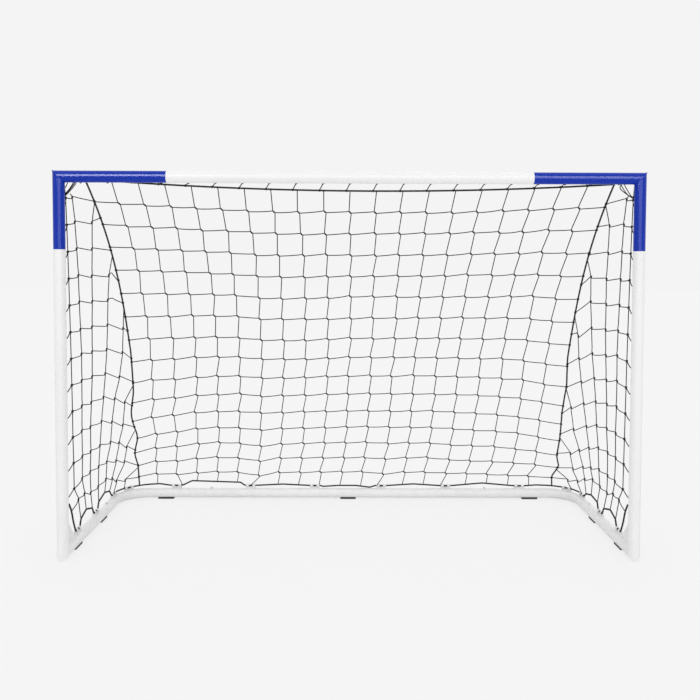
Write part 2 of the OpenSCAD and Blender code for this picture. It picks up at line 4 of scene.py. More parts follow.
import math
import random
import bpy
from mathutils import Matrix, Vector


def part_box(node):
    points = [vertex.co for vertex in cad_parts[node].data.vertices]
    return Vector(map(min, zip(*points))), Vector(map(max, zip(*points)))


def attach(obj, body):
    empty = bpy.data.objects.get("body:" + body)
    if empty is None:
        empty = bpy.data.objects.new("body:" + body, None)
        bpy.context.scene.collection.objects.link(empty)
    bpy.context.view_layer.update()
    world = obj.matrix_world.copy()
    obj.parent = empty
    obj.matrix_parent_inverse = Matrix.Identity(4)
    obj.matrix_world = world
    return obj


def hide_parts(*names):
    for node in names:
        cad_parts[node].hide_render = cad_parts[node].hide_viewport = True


bl_info = {
    "name": "Junior football goal",
    "version": (1, 0, 0),
    "blender": (4, 5, 0),
    "location": "View3D > Sidebar > Goal",
    "description": "Finishes for a plug-together goal frame, with its net, ropes, ties and welds",
    "category": "Object",
}

import bmesh
import bpy
import numpy as np
from mathutils import Matrix, Vector

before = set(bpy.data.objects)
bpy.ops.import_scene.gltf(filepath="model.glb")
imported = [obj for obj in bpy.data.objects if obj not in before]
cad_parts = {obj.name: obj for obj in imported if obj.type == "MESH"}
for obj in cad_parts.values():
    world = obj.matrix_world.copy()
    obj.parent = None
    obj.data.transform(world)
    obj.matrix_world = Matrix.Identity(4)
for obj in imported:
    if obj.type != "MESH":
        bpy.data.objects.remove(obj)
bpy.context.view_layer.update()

BODY = "goal_frame"
TAU = 2 * math.pi
UP = Vector((0, 0, 1))
SIDES = ((-1, "left"), (1, "right"))


def mirror(p, side):
    """The point p of the right side, on a side."""
    return Vector((side * p[0], p[1], p[2]))


def middle(node):
    low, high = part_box(node)
    return (low + high) / 2


# The frame's own lines, read from its pieces
TUBE_R = 0.018
POST_X = middle("post_right").x
FRONT_Y = middle("crossbar").y
FACE_Y = FRONT_Y + TUBE_R  # the rear face of the crossbar and the posts
REAR_Y = middle("rear_bar").y
BAR_Z = middle("crossbar").z
GROUND_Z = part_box("rear_bar")[1].z - TUBE_R
BEND_R = 0.113
BEND_X = POST_X - BEND_R
ARC_LEN = math.pi / 2 * BEND_R
SIDE_LEN = REAR_Y - BEND_R - FRONT_Y
POST_T = BEND_X + ARC_LEN + SIDE_LEN

# A place t on the ground tube is a length along its axis from the middle of the rear bar: x on
# the rear bar itself, and POST_T at the right post. A rise is the rope's height above its clips.
ROPE_SEAT = 0.02905
ROPE_KINK = 0.005  # half the length over which the rope's kinks are rounded
CLIP_HALF = 0.023  # half the straight run of rope through a clip
REAR_CLIPS = (0.13, 0.381, 0.67)
SIDE_CLIPS = tuple(POST_T - s for s in (0.556, 0.335, 0.14))
CLIPS = (*REAR_CLIPS, BEND_X + ARC_LEN / 2, *SIDE_CLIPS)
REAR_RISES = (
    (-0.735, 0.006), (-0.61, 0.018), (-0.42, 0.012), (-0.255, 0.005), (-0.1, -0.004),
    (-0.04, 0), (0.03, 0), (0.085, -0.007), (0.255, 0.0065), (0.525, 0.0105),
    (0.735, 0.003),
)
# Where the columns of a side panel hold the ground rope up, from the post backwards, and how far.
# Two differ on the right
SIDE_FEET = tuple((POST_T - s, rise) for s, rise in (
    (0.174, 0.024), (0.23, 0.039), (0.298, 0.023), (0.37, 0.024), (0.443, 0.037),
    (0.505, 0.025), (0.556, 0), (0.637, 0.002),
))
RIGHT_RISES = {4: 0.03, 5: 0.017}
# The front end of the ground rope, from its first clip up to the post
ROPE_FRONT = ((0.882, -0.219, 0.051), (0.875, -0.262, 0.093), (0.869, -0.298, 0.139),
              (0.871, -0.314, 0.166))
FRONT_T = POST_T - 0.122

STUD_PITCH = 0.082
BAR_STUDS = 21
POST_STUDS = 12
POST_STUD_TOP = 1.082
TIE_RISE = 0.036
STUD_TILT = math.radians(15)
STUD_WRAP = TUBE_R + 0.0035

# The ropes and edges of the net. Its sides are -1 on the left and 1 on the right.
TOP_ROPE_Y = FACE_Y + 0.005
TOP_ROPE_END = POST_X - 0.072
TOP_ROPE_Z = BAR_Z - 0.01
TOP_ROPE_SAG = 0.028
TOP_ROPE_TILT = 0.005
EDGE_TOP = Vector((POST_X - 0.008, FACE_Y + 0.009, BAR_Z - 0.014))
EDGE_LOW = Vector((POST_X - 0.028, FACE_Y + 0.009, 0.11))
EDGE_SHARE = 0.17  # share of a side panel next to the post, where no ground rope holds its foot
EDGE_T = POST_T - 0.12
SEAM_WAIST = {-1: 0.759, 1: 0.766}
SEAM_LOW = {-1: 0.813, 1: 0.799}
SEAM_POWERS = (3, 1.2)  # how sharply a seam curves in above its waist and out below it
# Where a seam is drawn outwards or inwards: row, how far, and over how many rows
SEAM_JOGS = {
    -1: ((11.5, 0.014, 1.3), (12.8, -0.005, 0.7), (13.9, 0.01, 0.8)),
    1: ((9.8, 0.008, 1.5), (12.8, 0.006, 2.5), (14.67, 0.013, 0.7), (15.38, -0.006, 0.7)),
}
BACK_WAVE = 0.013

# How the knots of the back stand away from an even grid, in meshes. A swell is a height, a middle
# and a reach.
NO_SWELL = (0, 0, 1)
BACK_ROWS = 16
BACK_COLUMNS = 20
BELLY_ROW = 6.6
BELLY_UP, BELLY_DOWN, BELLY_POWER = 0.15, 0.11, 0.7
SEAM_DROP, SEAM_DROP_ACROSS, SEAM_DROP_DOWN = 0.82, 3.3, 2.2
LOOSE_COLUMNS = (0.14, 7.3, 1.8)
LAST_DROP, LAST_DROP_ROWS = 0.12, 13
CLIP_PULL = {2: (0.1, 0.82), 6: (0.24, 0.82), 12: (0.15, 0.6)}  # and what each row up keeps of it
LOW_ROWS, LOW_START = 10, 10.5
LOW_DROP, LOW_PUSH = 0.08, 0.06
BOW_ASIDE, BOW_ROWS = 0.065, 9
LEAN, LEAN_POWER, TOP_LEAN = 0.42, 5, 0.05
LEFT_PULL, LEFT_PULL_DOWN = 0.1, 1.15
FOOT_LEAN = 0.033
# Columns of the back that are tied beside or into a clip
CLIPPED_FEET = {2: -0.647, 6: -0.381, 12: 0.112, 15: 0.361}

# Columns of a side panel: first row, distance from the post's edge in the lowest level row, and
# how far it leans forward in each row above that
SIDE_ROWS = 12
LAST_ROW = SIDE_ROWS - 1
ROW_TOP = POST_STUD_TOP + TIE_RISE
ROW_PITCH = 0.0823
SIDE_COLUMNS = (
    (0, 0.148, 0.0113, 0), (1, 0.213, 0.0121, 0), (3, 0.29, 0.0095, 0.0005),
    (5, 0.376, 0, 0.0027), (8, 0.474, 0.02, 0.0015), (10, 0.525, 0.025, 0),
)
# The sagging row under the level ones: distance from the edge and height at each column
LOW_ROW = ((0.124, 0.148), (0.178, 0.152), (0.237, 0.138), (0.308, 0.138), (0.387, 0.141),
           (0.466, 0.122), (0.521, 0.098), (0.572, 0.088))
LOW_ROW_END = 0.965
# The post's edge of a side panel: place behind the edge's line, more in each row below, drop
# under the level, and how far the ties draw the lower rows down
EDGE_AWAY, EDGE_AWAY_MORE, EDGE_DROP = 0.003, 0.0022, 0.004
EDGE_DRAWN = {-1: 0.002, 1: 0.006}
# Knots above their row's level: in the first row, less in each row below, with swells in all
# columns and in single ones
SIDE_TILT = {-1: (0.008, 0.008 / 6.5), 1: (0.004, 0.0016)}
SIDE_SWELLS = {-1: ((-0.0075, 0, 0.5), (-0.0045, 9.3, 1.3), (0.003, 11, 0.5)),
               1: ((-0.007, 0, 0.5), (0.004, 11, 0.5))}
COLUMN_SWELLS = {
    -1: {j: (0.0085, 4.2, 2.2) for j in range(3, 7)},
    1: {1: (0.005, 6.5, 2.2), 3: (0.021, 3.9, 2.8), 4: (0.009, 6.8, 2.4), 5: (0.006, 8.5, 1.2)},
}
# Knots behind their place: on the left in two rows and past the second column, on the right
# bowed, with a step and a swell in single columns
LEFT_BACK, LEFT_BACK_ROWS, LEFT_BOW = (0.02, 3.6, 2.2), (9, 11), 0.008
RIGHT_BOW = 0.014
RIGHT_BACK = {2: (0, (-0.011, 1.1, 1.3)), 3: (0, (-0.01, 3, 0.8)), 4: (0, (-0.009, 5.8, 1)),
              5: (0.004, (0.009, 9, 0.8)), 6: (0.003, (0.013, 11, 0.7))}
# How the rows sag to the seam: how far in a given row, its power over the rows, the share of a
# row that stays level, and the sag's power along the rest
SIDE_SAG = {-1: (0.085, 11, 1.5, 0.55, 1.8), 1: (0.095, 10, 1.1, 0.45, 1.5)}
END_LIFT = {-1: {1: 0.018, 11: 0.022}, 1: {11: 0.022}}
# How far below its own level each row of a side panel is tied to the seam, past the even sag
SEAM_TIES = {
    -1: (0.011, -0.006, -0.01, 0, -0.012, -0.004, 0.006, 0.003, 0.005, 0, 0.006, 0.003),
    1: (0.014, -0.008, -0.011, -0.003, 0, -0.015, 0.004, 0, 0.011, 0.006, -0.003, -0.008),
}
# Rows of a side panel that end slack, and how high the thread stands up before the seam
SLACK_ENDS = {-1: {3: 0.014, 4: 0.01}, 1: {5: 0.011}}
SLACK_SHAPE = ((0.3, 1), (0.62, 0.4))
# The corner tie of a side panel's second column, and where later columns start between two rows
CORNER_HOLD = (0.853, 1.1255)
TIGHT_START, LOOSE_START, TIGHT_COLUMNS = 0.05, 0.18, ((-1, 2), (1, 2), (1, 5))


def lerp(a, b, t):
    return a + (b - a) * t


def swell(value, height, centre, width):
    return height * math.exp(-((value - centre) / width) ** 2)


def half_wave(t):
    """0 at both ends of 0 to 1, and 1 in the middle."""
    return math.sin(math.pi * t)


def ground_axis(t):
    """Axis of the ground tube at place t."""
    a, side = abs(t), math.copysign(1, t)
    if a < BEND_X:
        return Vector((t, REAR_Y, GROUND_Z))
    turn = (a - BEND_X) / BEND_R
    if turn < math.pi / 2:
        return Vector((side * (BEND_X + BEND_R * math.sin(turn)),
                       REAR_Y - BEND_R + BEND_R * math.cos(turn), GROUND_Z))
    return Vector((side * POST_X, FRONT_Y + POST_T - a, GROUND_Z))


def rise_marks():
    marks = list(REAR_RISES)
    for side in (-1, 1):
        marks += [(side * (c + end), 0.0) for c in CLIPS for end in (-CLIP_HALF, 0.0, CLIP_HALF)]
        for j, (t, rise) in enumerate(SIDE_FEET):
            if rise:
                marks.append((side * t, RIGHT_RISES.get(j, rise) if side > 0 else rise))
    return np.array(sorted(marks)).T


RISE_MARKS = rise_marks()


def ground_rope(t):
    """Centre of the ground rope at place t."""
    window = np.interp(t + np.linspace(-ROPE_KINK, ROPE_KINK, 9), *RISE_MARKS)
    return ground_axis(t) + UP * (ROPE_SEAT + float(window.mean()))


def ground_at(x):
    """Place on the rear bar or in a bend at distance x from the middle."""
    over = min(1.0, max(0.0, (abs(x) - BEND_X) / BEND_R))
    return math.copysign(min(abs(x), BEND_X) + BEND_R * math.asin(over), x)


def top_rope(x):
    u = x / TOP_ROPE_END
    return Vector((x, TOP_ROPE_Y, TOP_ROPE_Z - TOP_ROPE_SAG * (1 - u * u) - TOP_ROPE_TILT * u))


SEAM_FOOT = {side: ground_rope(ground_at(side * SEAM_LOW[side])) for side in (-1, 1)}


def seam(v, side):
    """Seam between the back and a side, from 0 at the top to 1 at the ground."""
    waist, foot = SEAM_WAIST[side], SEAM_FOOT[side]
    upper, lower = SEAM_POWERS
    if v < 0.5:
        x = lerp(waist, TOP_ROPE_END, (1 - 2 * v) ** upper)
    else:
        x = lerp(waist, abs(foot.x), (2 * v - 1) ** lower)
    x += sum(jog * max(0.0, 1 - abs(v * BACK_ROWS - row) / reach)
             for row, jog, reach in SEAM_JOGS[side])
    top = top_rope(side * TOP_ROPE_END)
    y = lerp(TOP_ROPE_Y, foot.y, v) + BACK_WAVE * math.sin(TAU * v)
    return Vector((side * x, y, lerp(top.z, foot.z, v)))


def back_point(u, v):
    """Point of the back panel, u from -1 to 1 across and v from 0 to 1 down."""
    side = 1 if u >= 0 else -1
    s = seam(v, side)
    low = ground_rope(ground_at(u * SEAM_LOW[side]))
    y = s.y + (low.y - SEAM_FOOT[side].y) * v
    return Vector((abs(u) * s.x, y, lerp(top_rope(u * TOP_ROPE_END).z, GROUND_Z + ROPE_SEAT, v)))


def lean(u):
    """How much of the net's lean to the left a column takes."""
    return 1 - 0.45 * u * u if u > 0 else 1 - 0.8 * (u + 0.1) ** 2


def hang(row, column, u):
    """How far a knot of the back hangs below an even grid, in meshes."""
    level = row / BACK_ROWS
    if row < BELLY_ROW:
        down = -BELLY_UP * half_wave(row / BELLY_ROW)
    else:
        low = half_wave((row - BELLY_ROW) / (BACK_ROWS - BELLY_ROW))
        down = BELLY_DOWN * low ** BELLY_POWER
    down += SEAM_DROP * abs(u) ** SEAM_DROP_ACROSS * half_wave(level ** SEAM_DROP_DOWN)
    down += swell(column, *LOOSE_COLUMNS) * half_wave(level)
    if column >= BACK_COLUMNS - 1:
        down += LAST_DROP * half_wave(min(1, row / LAST_DROP_ROWS))
    if column in CLIP_PULL:
        pull, kept = CLIP_PULL[column]
        down += pull * kept ** (BACK_ROWS - 1 - row)
    if row > LOW_ROWS:
        way = 1 if column >= 15 else -1 if 1 <= column <= 4 else 0
        down += way * LOW_DROP * half_wave((row - LOW_START) / (BACK_ROWS - LOW_START))
    return down


def stray_aside(row, column, u):
    """How far it stands to the right of that grid. Columns lean to the left on their way down."""
    if column in (0, BACK_COLUMNS):
        return 0
    level = row / BACK_ROWS
    aside = BOW_ASIDE * half_wave(min(row, BOW_ROWS) / BOW_ROWS) * math.sqrt(max(0, 1 - u * u))
    aside -= LEAN * level ** LEAN_POWER * lean(u) + TOP_LEAN * math.exp(-row / 2)
    if u < 0:
        aside -= LEFT_PULL * u * u * half_wave(min(1, level * LEFT_PULL_DOWN))
    if column >= 17 and row > LOW_ROWS:
        aside += LOW_PUSH * half_wave((row - LOW_START) / 5)
    return aside


def back_knot(row, column):
    """Place of a knot of the back panel."""
    n = BACK_COLUMNS // 2
    u = (column - n) / n
    if row == BACK_ROWS:
        return ground_rope(CLIPPED_FEET.get(column, u * TOP_ROPE_END - FOOT_LEAN * lean(u)))
    if row == 0:
        return top_rope(u * TOP_ROPE_END)
    return back_point(u + stray_aside(row, column, u) / n, (row + hang(row, column, u)) / BACK_ROWS)


def edge(z, side):
    """The net's edge behind a post, at height z."""
    low = (EDGE_TOP.z - z) / (EDGE_TOP.z - EDGE_LOW.z)
    return mirror(lerp(EDGE_TOP, EDGE_LOW, low), side)


def seam_at(z, side):
    """The seam at height z, and how far down it that is."""
    top, foot = top_rope(side * TOP_ROPE_END).z, SEAM_FOOT[side].z
    v = min(1.0, max(0.0, (top - z) / (top - foot)))
    return seam(v, side), v


def side_point(away, z, side):
    """Point of a side panel at height z, away from the post's edge towards the seam."""
    start, (end, v) = edge(z, side), seam_at(z, side)
    flat = Vector((end.x - start.x, end.y - start.y, 0))
    q = away / flat.length
    low = ground_rope(side * lerp(POST_T, abs(ground_at(SEAM_LOW[side])), min(1.0, q)))
    if q < EDGE_SHARE:
        low = lerp(EDGE_LOW, ground_axis(EDGE_T), q / EDGE_SHARE)
        low.x *= side
    foot = SEAM_FOOT[side]
    bow = low - lerp(Vector((side * EDGE_LOW.x, EDGE_LOW.y, 0)), foot, q)
    return start + flat * q + Vector((bow.x, bow.y, 0)) * v


def edge_knot(k, side):
    """Where row k of a side panel meets the post's edge."""
    down = ROW_PITCH * k + EDGE_DROP + EDGE_DRAWN[side] * half_wave(max(0, k - 3) / 8)
    return side_point(EDGE_AWAY + EDGE_AWAY_MORE * k, ROW_TOP - down, side)


def side_lift(k, j, side):
    """How far the knot in row k and column j of a side panel stands above the row's level."""
    first, less = SIDE_TILT[side]
    lift = first - less * k + sum(swell(k, *s) for s in SIDE_SWELLS[side])
    return lift + swell(k, *COLUMN_SWELLS[side].get(j, NO_SWELL))


def side_shift(k, j, side):
    """How far that knot stands behind its place, towards the seam."""
    if side < 0:
        shift = swell(j, *LEFT_BACK) * sum(swell(k, 1, row, 0.5) for row in LEFT_BACK_ROWS)
        return shift + (LEFT_BOW * half_wave(max(0, k - 1) / 9) if j > 2 else 0)
    step, more = RIGHT_BACK.get(j, (0, NO_SWELL))
    return RIGHT_BOW * half_wave(k / LAST_ROW) * min(1, (j - 1) / 2) + step + swell(k, *more)


def side_grid(side):
    """Knots of a side panel by row and column, and where each row meets the seam."""
    rows, ends = [], []
    sag, sag_row, power, free, along = SIDE_SAG[side]
    for k in range(SIDE_ROWS):
        z, above = ROW_TOP - ROW_PITCH * k, LAST_ROW - k
        drop = sag * (k / sag_row) ** power - END_LIFT[side].get(k, 0)
        end = seam_at(z - drop - SEAM_TIES[side][k], side)[0]
        start = edge(z, side)
        wide = math.hypot(end.x - start.x, end.y - start.y)
        row = {0: edge_knot(k, side)}
        for j, (first, base, forward, more) in enumerate(SIDE_COLUMNS, 1):
            if k >= first:
                away = base - forward * above - more * above * above + side_shift(k, j, side)
                down = drop * max(0, (away / wide - free) / (1 - free)) ** along
                row[j] = side_point(away, z + side_lift(k, j, side) - max(0.0, down), side)
        rows.append(row)
        ends.append(end)
    rows.append({j: side_point(away, z, side) for j, (away, z) in enumerate(LOW_ROW)})
    ends.append(seam(LOW_ROW_END, side))
    return rows, ends


# Strands of the loops at the upper corners, as places (x, z) between the crossbar and the post
CORNER_STRANDS = {
    -1: (((0.8395, 1.158), (0.866, 1.125)), ((0.843, 1.159), (0.865, 1.129)),
         ((0.836, 1.156), (0.866, 1.1215)), ((0.861, 1.159), (0.868, 1.144))),
    1: (((0.828, 1.159), (0.8282, 1.145), (0.864, 1.119)), ((0.839, 1.159), (0.8655, 1.118)),
        ((0.829, 1.1585), (0.852, 1.127))),
}

# Weld beads: the ring round a mitre, and the straight bead along a gusset
RING_R, RING_SUNK, RING_PARTS = 0.0011, 0.0003, 72
BEAD_R, BEAD_PROUD, BEAD_CUTS, BEAD_TIP = 0.0017, 0.0006, 26, 0.35
BEAD_START, BEAD_STOP = 0.006, 0.002
WELD_RIPPLE = 0.00035

# Ties: where the line along the crossbar runs behind and below its axis, the loops over its
# studs, where a tie bends behind a post, and its coil round a stud
LINE_BACK, LINE_DROP = 0.0128, 0.0152
TIE_LEAN = 0.012
HOOK = 0.003
BEND_IN, BEND_BACK, BEND_DOWN = 0.0145, 0.0165, 0.017
STUD_COIL = 0.0034
KNOT_TURNS, LOOP_TURNS, SEAM_TURNS = 2.2, 1.6, 2.6


# ---- settings


def colour(name, text, default):
    return bpy.props.FloatVectorProperty(
        name=name, description=text, default=default, subtype="COLOR", min=0, max=1, size=3
    )


def number(name, text, default, **more):
    return bpy.props.FloatProperty(name=name, description=text, default=default, **more)


def length(name, text, default, low, high):
    return number(name, text, default, min=low, max=high, unit="LENGTH", precision=4)


def share(name, text, default):
    return number(name, text, default, subtype="FACTOR", min=0, max=1)


def angle(name, text, default):
    return number(name, text, default, subtype="ANGLE")


class GoalFinish(bpy.types.PropertyGroup):
    """Colours of the goal's finishes."""

    white: colour("White coat", "Powder coat of the tubes", (0.87, 0.87, 0.87))
    blue: colour("Blue coat", "Powder coat of the top corners", (0.002, 0.029, 0.385))
    rubber: colour("Rubber", "Feet under the ground tubes", (0.018, 0.018, 0.019))
    zinc: colour("Zinc", "Spring buttons", (0.62, 0.63, 0.64))
    steel: colour("Spring steel", "Leaf springs of the buttons", (0.34, 0.35, 0.37))
    nylon: colour("Nylon", "Net clips and net studs", (0.78, 0.78, 0.77))
    thread: colour("Thread", "Thread of the net and its ties", (0.006, 0.006, 0.0065))
    rope: colour("Rope", "Border ropes", (0.007, 0.007, 0.0075))
    peel: share("Orange peel", "Depth of the coat's fine texture", 0.15)


class GoalNet(bpy.types.PropertyGroup):
    """Sizes of the net."""

    thread: length("Thread", "Thickness of the thread", 0.0031, 0.001, 0.004)
    rope: length("Rope", "Thickness of the border ropes", 0.0064, 0.003, 0.008)
    knot: length("Knot", "Length of a knot", 0.0092, 0.004, 0.02)
    slack: length("Slack", "How far a knot strays from its place", 0.0012, 0, 0.01)
    seed: bpy.props.IntProperty(name="Seed", description="Of the net's unevenness", default=7)


class GoalStage(bpy.types.PropertyGroup):
    """Camera, floor and light."""

    camera: bpy.props.FloatVectorProperty(
        name="Camera", description="Place of the camera", subtype="TRANSLATION", unit="LENGTH",
        default=(-0.0171, -2.8546, 0.9039), size=3,
    )
    pitch: angle("Pitch", "How far the camera looks down", 0.0442)
    yaw: angle("Yaw", "How far the camera looks to the right", 0.0070)
    roll: angle("Roll", "How far the camera leans", 0.0032)
    lens: number("Lens", "Focal length on a sensor 36 mm wide, in mm", 42.41, min=10, max=200)
    shift: number("Shift", "Vertical shift, in frame widths", -0.0658)
    backdrop: colour("Backdrop", "Backdrop as the camera sees it", (0.905, 0.905, 0.905))
    floor: share("Floor", "How much light the floor returns", 0.905)
    even: share("Even floor", "How much of the floor's tone is the backdrop's", 0.82)
    sky: number("Sky", "Strength of the even light", 1.06, min=0, max=4)
    sides: share("Dark sides", "How much weaker the even light is from the sides", 0.85)
    overhead: number("Overhead", "Power of the softbox above, in watts", 3, min=0, max=500)
    strip: number("Gloss strips", "Power of the left strip light, in watts, seen only in gloss",
                  120, min=0, max=500)


# ---- finishes


class Nodes:
    """The node tree of a material or a world."""

    def __init__(self, owner):
        owner.use_nodes = True
        self.nodes, self.links = owner.node_tree.nodes, owner.node_tree.links

    def feed(self, target, value):
        if isinstance(value, bpy.types.NodeSocket):
            self.links.new(value, target)
        else:
            target.default_value = value

    def add(self, kind, inputs=(), **settings):
        node = self.nodes.new("ShaderNode" + kind)
        for name, value in settings.items():
            setattr(node, name, value)
        for key, value in dict(inputs).items():
            self.feed(node.inputs[key], value)
        return node

    def math(self, operation, *values, clamp=False):
        node = self.add("Math", enumerate(values), operation=operation, use_clamp=clamp)
        return node.outputs[0]

    def coords(self, output="Object"):
        return self.add("TexCoord").outputs[output]

    def seen(self):
        """1 for what the camera sees, directly, in gloss or through something clear."""
        path = self.add("LightPath").outputs
        either = self.math("MAXIMUM", path["Is Camera Ray"], path["Is Glossy Ray"])
        return self.math("MAXIMUM", either, path["Is Transmission Ray"])


class Finish(Nodes):
    """A material on a Principled shader."""

    def __init__(self, name, base, roughness, **sockets):
        self.material = bpy.data.materials.new(name)
        super().__init__(self.material)
        self.shader = self.nodes["Principled BSDF"]
        self.material.diffuse_color = (*base, 1)
        self.set(Base_Color=(*base, 1), Roughness=roughness, **sockets)

    def set(self, **sockets):
        for socket, value in sockets.items():
            self.feed(self.shader.inputs[socket.replace("_", " ")], value)

    def done(self, tone, roughness, normal):
        self.set(Base_Color=tone, Roughness=roughness, Normal=normal)
        return self.material

    def noise(self, scale, detail=2.0, roughness=0.5, where=None):
        inputs = {"Scale": scale, "Detail": detail, "Roughness": roughness,
                  "Vector": where or self.coords()}
        return self.add("TexNoise", inputs).outputs["Fac"]

    def stretch(self, value, low, high, new_low=0.0, new_high=1.0):
        inputs = {"Value": value, "From Min": low, "From Max": high,
                  "To Min": new_low, "To Max": new_high}
        return self.add("MapRange", inputs).outputs["Result"]

    def mix(self, factor, a, b):
        node = self.add("Mix", {"Factor": factor}, data_type="RGBA")
        for name, value in (("A", a), ("B", b)):
            socket = next(s for s in node.inputs if s.name == name and s.type == "RGBA")
            given = isinstance(value, bpy.types.NodeSocket)
            self.feed(socket, value if given else (*value, 1))
        return next(s for s in node.outputs if s.type == "RGBA")

    def bump(self, height, distance, strength):
        inputs = {"Height": height, "Distance": distance, "Strength": strength}
        return self.add("Bump", inputs).outputs["Normal"]


DUST = (0.42, 0.39, 0.34)
DUST_TOP = 0.35
PEEL_DEPTH = 0.00006


def shade(base, part):
    return tuple(part * c for c in base)


def coat(name, base, roughness, peel, worn, **sockets):
    """Powder coat: a fine orange peel, uneven gloss, faint dust low down and small scuffs."""
    f = Finish(name, base, roughness, **sockets)
    height = f.add("SeparateXYZ", {0: f.coords()}).outputs["Z"]
    low = f.stretch(height, 0.0, DUST_TOP, 0.75, 0.0)
    dust = f.math("MULTIPLY", low, f.stretch(f.noise(38, 6, 0.7), 0.42, 0.75), clamp=True)
    scuffs = f.noise(160, 5, 0.75)
    spots = f.math("MULTIPLY", f.stretch(scuffs, 0.68, 0.74), f.stretch(f.noise(9, 2), 0.5, 0.62))
    uneven = f.noise(5, 3)
    tone = f.mix(f.stretch(uneven, 0.3, 0.7, 0.0, 0.5), base, shade(base, 0.94))
    tone = f.mix(f.math("MULTIPLY", dust, 0.15), tone, DUST)
    tone = f.mix(f.math("MULTIPLY", spots, 0.6), tone, worn)
    gloss = f.stretch(f.noise(60, 3), 0.3, 0.7, roughness * 0.93, roughness * 1.1)
    return f.done(tone, f.math("ADD", gloss, f.math("MULTIPLY", dust, 0.25)),
                  f.bump(f.noise(700, 2, 0.4), PEEL_DEPTH, peel))


def moulded(name, base, roughness, grain, depth):
    """Rubber or plastic with a fine grain."""
    f = Finish(name, base, roughness)
    return f.done(f.mix(f.stretch(f.noise(25, 4), 0.3, 0.7), base, shade(base, 0.82)),
                  f.stretch(f.noise(90, 3), 0.3, 0.7, roughness - 0.07, roughness + 0.07),
                  f.bump(f.noise(grain, 3, 0.6), depth, 0.6))


def metal(name, base, roughness, brushed):
    """Metal with fine marks along it."""
    f = Finish(name, base, roughness, Metallic=1.0)
    lines = f.add("Mapping", {"Vector": f.coords(), "Scale": brushed}).outputs[0]
    marks = f.noise(260, 4, 0.6, lines)
    return f.done(f.mix(f.stretch(marks, 0.3, 0.7), base, shade(base, 0.7)),
                  f.stretch(marks, 0.25, 0.75, roughness - 0.08, roughness + 0.12),
                  f.bump(marks, 0.0001, 0.4))


def cordage(name, base, strands, lay, depth):
    """Thread or rope on its own UV map: u round it and v along it in metres. Fine fibres lie along
    the strands, which cross each other where lay is short. The grooves between the strands are
    darkened as painted shade."""
    f = Finish(name, base, 0.62, Sheen_Weight=0.1, Sheen_Roughness=0.5, Specular_IOR_Level=0.2)
    uv = f.add("SeparateXYZ", {0: f.coords("UV")})
    turn = f.math("MULTIPLY", uv.outputs["X"], strands * TAU)
    climb = f.math("MULTIPLY", uv.outputs["Y"], TAU / lay)
    weave = f.math("MAXIMUM", *(f.math("SINE", f.math(way, turn, climb))
                                for way in ("ADD", "SUBTRACT")))
    fibre = f.noise(2600, 3, 0.6)
    height = f.math("ADD", weave, f.math("MULTIPLY", fibre, 0.8))
    # Painted shade: where the weave is low, in the grooves between strands, the colour is darkened
    # towards 0.55 of the base.
    tone = f.mix(f.stretch(weave, -0.6, 1.0), shade(base, 0.55), base)
    tone = f.mix(f.stretch(f.noise(14, 3), 0.35, 0.75, 0.0, 0.5), tone, shade(base, 1.9))
    return f.done(tone, f.stretch(fibre, 0.3, 0.7, 0.52, 0.72), f.bump(height, depth, 0.7))


def new_object(name, data):
    obj = bpy.data.objects.new(name, data)
    bpy.context.scene.collection.objects.link(obj)
    return obj


FINISHES = {}


def finishes():
    """The goal's materials by the record's slot, made once."""
    if not FINISHES:
        p = bpy.context.scene.goal_finish
        grey = (0.45, 0.45, 0.45)
        FINISHES.update({
            "white_paint": coat("white_powder_coat", p.white, 0.45, p.peel, grey,
                                Specular_IOR_Level=0.15),
            "blue_paint": coat("blue_powder_coat", p.blue, 0.13, p.peel, (0.08, 0.12, 0.5),
                               Specular_IOR_Level=0.2),
            "foot_rubber": moulded("foot_rubber", p.rubber, 0.7, 900, 0.0003),
            "button_zinc": metal("button_zinc", p.zinc, 0.32, (1, 1, 0.1)),
            "spring_steel": metal("spring_steel", p.steel, 0.3, (0.1, 1, 1)),
            "white_plastic": moulded("white_nylon", p.nylon, 0.42, 1500, 0.0001),
            "net_thread": cordage("net_thread", p.thread, 2, 0.0042, 0.00015),
            "border_rope": cordage("border_rope", p.rope, 12, 0.0105, 0.00018),
        })
    return FINISHES


def dress(obj, slot):
    """Gives obj the finish of a slot."""
    obj.data.materials.clear()
    obj.data.materials.append(finishes()[slot])
    return obj


def ride(obj, slot, *replaced):
    """Makes a finished new piece part of the goal's frame."""
    dress(obj, slot)
    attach(obj, BODY)
    if replaced:
        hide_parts(*replaced)
    return obj


# ---- strands


def smooth(points, step):
    """A curve through points, resampled about every step."""
    p = np.array([tuple(q) for q in points], float)
    p = np.vstack([2 * p[0] - p[1], p, 2 * p[-1] - p[-2]])
    out = []
    for a, b, c, d in zip(p, p[1:], p[2:], p[3:]):
        count = max(1, round(float(np.linalg.norm(c - b)) / step))
        t = (np.arange(count) / count)[:, None]
        out.append(0.5 * (2 * b + (c - a) * t + (2 * a - 5 * b + 4 * c - d) * t**2
                          + (3 * b - a - 3 * c + d) * t**3))
    out.append(p[-2][None])
    return np.vstack(out)


def round_outline(radius, sides):
    return [(radius, TAU * k / sides) for k in range(sides)]


def laid_outline(radius):
    """Outline of a rope of three laid strands."""
    lobe = ((-60, 0.52), (-38, 0.78), (-14, 0.98), (14, 0.98), (38, 0.78))
    return [(radius * reach, math.radians(angle + turn))
            for turn in (0, 120, 240) for angle, reach in lobe]


